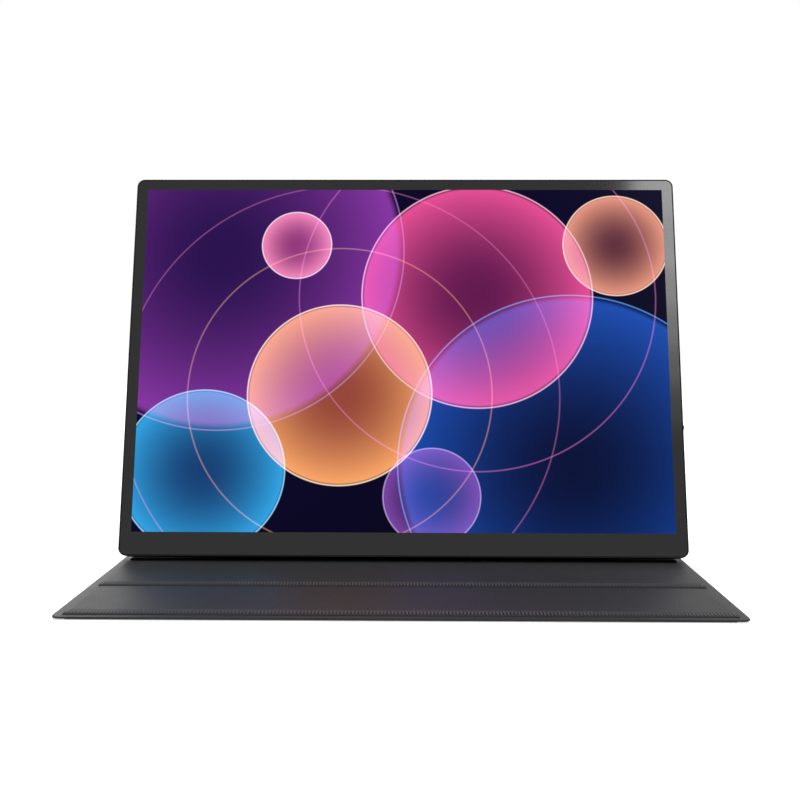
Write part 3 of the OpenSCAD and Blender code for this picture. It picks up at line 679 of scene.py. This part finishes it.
flap_top = FLAP_BOARD + SKIN + LINING
back_top = BACK_BOARD + SKIN + LINING
side_top = FLAP_BOARD + SKIN + LINING - DIP
WEB = 2 * SKIN                      # leather in the middle of a gutter
GROOVE = (0.3, 0.06)                # half width and depth of the groove under the front fold
front_y, front_z = FLAP_HINGE
rear_y, rear_z = REAR_HINGE


def valley(centre, reach, top):
    """Upper outline of a gutter from one board to the next, in mm."""
    steps = ((1.0, 1.0), (0.9, 0.93), (0.68, 0.35), (0.5, 0.06), (0.2, 0.0), (0.0, -0.08))
    half = [(centre - reach * share, WEB + (top - WEB) * rise) for share, rise in steps]
    return half + [(2 * centre - y, z) for y, z in reversed(half[:-1])]


front_points = [(0, y, z) for y, z in valley(front_y, FLAP_GUTTER - SKIN, flap_top)]
front_points += [(0, spine_start, 0), (0, front_y + GROOVE[0], 0), (0, front_y, GROOVE[1]),
                 (0, front_y - GROOVE[0], 0), (0, flap_end, 0)]
gutter("front_fold_leather", front_points,
       [((0, y, flap_top), (0, 0, side_top - flap_top)) for y in (flap_end, spine_start)]
       + [((0, y, 0), (0, 0, FLAP_BOARD)) for y in (flap_end, spine_start)],
       [])

# The rear fold turns by 105 degrees at rest: half of it ends on the bisecting plane.
bend = (math.pi / 2 + LEAN) / 2
mitre = SKIN * math.tan(bend)
fold_arc = [(SKIN * math.sin(bend * k), SKIN - SKIN * math.cos(bend * k))
            for k in (0, 0.5, 1)]


def rear_half(place, hinge, sign, reach, top):
    """Outline of one half of the rear fold, from its board to the bisecting plane."""
    rise = top - WEB
    inner = [(reach, top), (reach * 0.9, WEB + rise * 0.32), (reach * 0.76, WEB + rise * 0.12),
             (reach * 0.5, WEB + 0.02), (mitre, WEB)]   # steep at the board, flat at the fold
    outline = [(hinge + sign * s, z) for s, z in inner]
    outline += [(hinge - sign * s, z) for s, z in reversed(fold_arc)]
    outline += [(hinge + sign * reach, 0)]
    return [along(place, s, z) for s, z in outline]


spine_half = rear_half(FLAT, rear_y, -1, rear_y - spine_end, flap_top)
gutter("rear_fold_leather", spine_half,
       [(along(FLAT, spine_end, flap_top), (0, 0, side_top - flap_top)),
        (along(FLAT, spine_end, 0), (0, 0, FLAP_BOARD))],
       ["fold_crease"])

strut_half = rear_half(STRUT, HINGE_V, 1, strut_start - HINGE_V, back_top)
strut_up, strut_in = heading(STRUT, 1, 0), heading(STRUT, 0, 1)
gutter("strut_fold_leather", strut_half,
       [(along(STRUT, strut_start, back_top), strut_in * -DIP),
        (along(STRUT, strut_start, 0), strut_in * BACK_BOARD)],
       [])

# The head fold lies at the inner faces of the boards.
head_reach = FOLD_GUTTER - SKIN
fold_z = BACK_BOARD + SKIN


def head_side(place, sign):
    """Points of one side of the head fold: inner face, then outer face."""
    inner = [(sign * head_reach, back_top), (sign * 0.35, back_top)]
    outer = [(sign * 0.3, BACK_BOARD + 0.02), (sign * head_reach * 0.5, BACK_BOARD * 0.9),
             (sign * head_reach * 0.8, BACK_BOARD * 0.4), (sign * head_reach, 0.0)]
    return ([along(place, FOLD_V + s, z) for s, z in inner],
            [along(place, FOLD_V + s, z) for s, z in outer])


low_inner, low_outer = head_side(STRUT, -1)
high_inner, high_outer = head_side(BACK, 1)
fold_point = along(BACK, FOLD_V, fold_z)
outwards = (heading(BACK, 0, -1) + heading(STRUT, 0, -1)).normalized()
head_points = (low_inner + [fold_point - outwards * SKIN] + high_inner[::-1]
               + high_outer[::-1] + [fold_point + outwards * SKIN * 0.8] + low_outer)
head_in = heading(BACK, 0, 1)
gutter("head_fold_leather", head_points,
       [(along(STRUT, strut_end, back_top), strut_in * -DIP),
        (along(BACK, head_start, back_top), head_in * -DIP),
        (along(STRUT, strut_end, 0), strut_in * BACK_BOARD),
        (along(BACK, head_start, 0), head_in * BACK_BOARD)],
       [])


# ---------- grip strips ----------

STRIP_BEVEL = (0.22, 0.12)          # width and height of the base's bevel
RIB_PITCH = 1.2                     # from one rib to the next
RIB_W = 0.27                        # width of a rib's arms, along the strip
RIB_GAP = 0.07                      # from an arm's outer end to the pitch line
RIB_HALF = 2.85                     # half a rib's reach across the strip
RIB_END = 0.6                       # bare base at each end


def grip_strip(node, y, rubber):
    """A low strip with a row of V-shaped ribs on a bevelled base."""
    low, high = flap_top, flap_top + STRIP_TOP - RIB
    half = STRIP_W / 2
    bevel_w, bevel_h = STRIP_BEVEL
    base = profile(f"{node}_ribbed", [
        (0, y - half, low), (0, y + half, low), (0, y + half, high - bevel_h),
        (0, y + half - bevel_w, high), (0, y - half + bevel_w, high),
        (0, y - half, high - bevel_h)], (-STRIP_HALF, 0, 0), (2 * STRIP_HALF, 0, 0))
    leave_edit()
    middle, apex = RIB_PITCH / 2, RIB_PITCH / 2 - RIB_W / 2
    notch = -RIB_HALF + 2 * RIB_HALF * RIB_W / (middle - RIB_GAP)
    rib = profile(f"{node}_rib", [
        (RIB_GAP, y + RIB_HALF, high), (RIB_GAP + RIB_W, y + RIB_HALF, high),
        (middle, y + notch, high), (RIB_PITCH - RIB_GAP - RIB_W, y + RIB_HALF, high),
        (RIB_PITCH - RIB_GAP, y + RIB_HALF, high), (middle + RIB_W / 2, y - RIB_HALF, high),
        (apex, y - RIB_HALF, high)], (-STRIP_HALF + RIB_END, 0, 0), (0, 0, RIB))
    leave_edit()
    count = int((2 * STRIP_HALF - 2 * RIB_END) / RIB_PITCH)
    modify(rib, "ARRAY", count=count, use_relative_offset=False, use_constant_offset=True,
           constant_offset_displace=(RIB_PITCH * MM, 0, 0))
    select_only(base)
    rib.select_set(True)
    bpy.ops.object.join()
    settle(base, FLAT, rubber, [node])
    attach(base, "front_flap")


# Blacker rubber for the rear strip alone, a painted shade: at rest it shows only in the black
# shadow line at the monitor's foot, and it is matched to that line. The strip's own colour is a
# guess.
shadow_black_rubber = grained("shadow_black_rubber", (0.004, 0.004, 0.004), 0.75, grains=3600,
                       relief=0.01, specular=0.04)
for node, y in STRIPS.items():
    grip_strip(node, y, FINISHES["grip"] if y < 0 else shadow_black_rubber)


# ---------- the lit picture ----------

PICTURE_Z = (-0.01, 0.02)           # the picture's thin sheet, just in and over the glass

picture = block("lit_picture", PICTURE[0] / 2, PICTURE_LOW, PICTURE_LOW + PICTURE[1],
                *PICTURE_Z)
settle(picture, SCREEN, lit_picture_material())
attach(picture, "monitor")


# ---------- floor, light and camera, in metres and watts ----------

AMBIENT = 0.6                       # strength of the background for what it lights
FLOOR_SIZE = 8
FLOOR_GREY = 0.85
FLOOR_GLOW = 0.55                   # the floor's own light for what looks at it or mirrors it
WHITE = (1, 1, 1, 1)

WINDOW_X = 0.582                    # the soft box at the right: its middle and its width
WINDOW_W = 0.46
WINDOW_AIM = (WINDOW_X, 0.04, 0.12)
WINDOW_FOOT = (-1.231, 0.614)       # y and z of its foot
WINDOW_SLOPE = 0.477                # y by which it leans back for each metre up
BAND_H = 0.066
BANDS = [(0.672, 0.8), (0.731, 2.4), (0.788, 4.4), (0.845, 6.6), (0.901, 8.4)]   # z, glow
TOP_BAND = (-1.0, 1.09, 0.35, 9.8)  # y, z, height and glow

BOXES = {  # place, target, size, power
    "top_box": ((-0.1, -0.2, 1.5), (0, 0, 0.05), (1.4, 1.2), 14.0),
    "fill_box": ((-1.3, -0.9, 0.7), (0, 0, 0.08), (0.8, 0.8), 5.0),
    "rear_box": ((-0.75, 1.3, 0.36), (-0.1, 0, 0), (1.0, 0.6), 2.8),
}

CAMERA_PLACE = (0.00487, -0.46979, 0.0951)
CAMERA_YAW = math.radians(-0.738)
CAMERA_PITCH = math.radians(-3.375)
CAMERA_ROLL = math.radians(0.099)
CAMERA_LENS, SENSOR = 52.652, 36.0  # millimetres
CAMERA_CLIP = (0.01, 20.0)


def looked_at(tree):
    """1 for rays that look at a thing, mirror it or pass through glass to it, 0 for the rest."""
    path = add_node(tree, "ShaderNodeLightPath")
    return math_node(tree, "MAXIMUM", path.outputs["Is Camera Ray"],
                     math_node(tree, "MAXIMUM", path.outputs["Is Glossy Ray"],
                               path.outputs["Is Transmission Ray"]))


def make_world():
    """A white background that lights the scene with less than it shows."""
    world = bpy.data.worlds.new("studio")
    world.use_nodes = True
    bpy.context.scene.world = world
    tree = world.node_tree
    back = next(n for n in tree.nodes if n.type == "BACKGROUND")
    back.inputs["Color"].default_value = WHITE
    tree.links.new(between(tree, looked_at(tree), AMBIENT, 1.0), back.inputs["Strength"])


def make_floor():
    """A white floor that shows soft shadows."""
    bpy.ops.object.select_all(action="DESELECT")
    bpy.ops.mesh.primitive_plane_add(size=FLOOR_SIZE, location=(0, 0, 0))
    floor = bpy.context.object
    floor.name = "floor"
    material, tree, shader, place = new_material("floor")
    shader.inputs["Base Color"].default_value = (FLOOR_GREY, FLOOR_GREY, FLOOR_GREY, 1)
    shader.inputs["Roughness"].default_value = 0.9
    shader.inputs["Specular IOR Level"].default_value = 0.0
    shader.inputs["Emission Color"].default_value = WHITE
    tree.links.new(math_node(tree, "MULTIPLY", looked_at(tree), FLOOR_GLOW),
                   shader.inputs["Emission Strength"])
    floor.data.materials.append(material)


def area_light(name, place, target, size, power):
    """A rectangular lamp that faces its target."""
    data = bpy.data.lights.new(name, "AREA")
    data.shape = "RECTANGLE"
    data.size, data.size_y = size
    data.energy = power
    lamp = bpy.data.objects.new(name, data)
    aim = (Vector(target) - Vector(place)).to_track_quat("-Z", "Y").to_matrix().to_4x4()
    lamp.matrix_world = Matrix.Translation(place) @ aim
    bpy.context.scene.collection.objects.link(lamp)


def side_window():
    """A tall soft box at the right, in bands that grow darker downwards. The glass mirrors it."""
    foot_y, foot_z = WINDOW_FOOT
    bands = [(foot_y + (z - foot_z) * WINDOW_SLOPE, z, BAND_H, glow) for z, glow in BANDS]
    for count, (y, z, height, glow) in enumerate(bands + [TOP_BAND]):
        area_light(f"side_band_{count + 1}", (WINDOW_X, y, z), WINDOW_AIM, (WINDOW_W, height),
                   glow * math.pi * WINDOW_W * height)


def make_camera(place, yaw, pitch, roll, lens):
    """A camera from its place, heading, slope and roll, as fitted to the photograph."""
    forward = Vector((math.sin(yaw) * math.cos(pitch), math.cos(yaw) * math.cos(pitch),
                      math.sin(pitch)))
    right = Vector((math.cos(yaw), -math.sin(yaw), 0))
    up = right.cross(forward)
    right, up = (right * math.cos(roll) + up * math.sin(roll),
                 up * math.cos(roll) - right * math.sin(roll))
    data = bpy.data.cameras.new("camera")
    data.lens, data.sensor_width = lens, SENSOR
    data.clip_start, data.clip_end = CAMERA_CLIP
    camera = bpy.data.objects.new("camera", data)
    turn = Matrix((right, up, -forward)).transposed().to_4x4()
    camera.matrix_world = Matrix.Translation(place) @ turn
    bpy.context.scene.collection.objects.link(camera)
    bpy.context.scene.camera = camera


make_world()
make_floor()
side_window()
for name, (place, target, size, power) in BOXES.items():
    area_light(name, place, target, size, power)
make_camera(CAMERA_PLACE, CAMERA_YAW, CAMERA_PITCH, CAMERA_ROLL, CAMERA_LENS)

bpy.context.scene.view_settings.view_transform = "Standard"
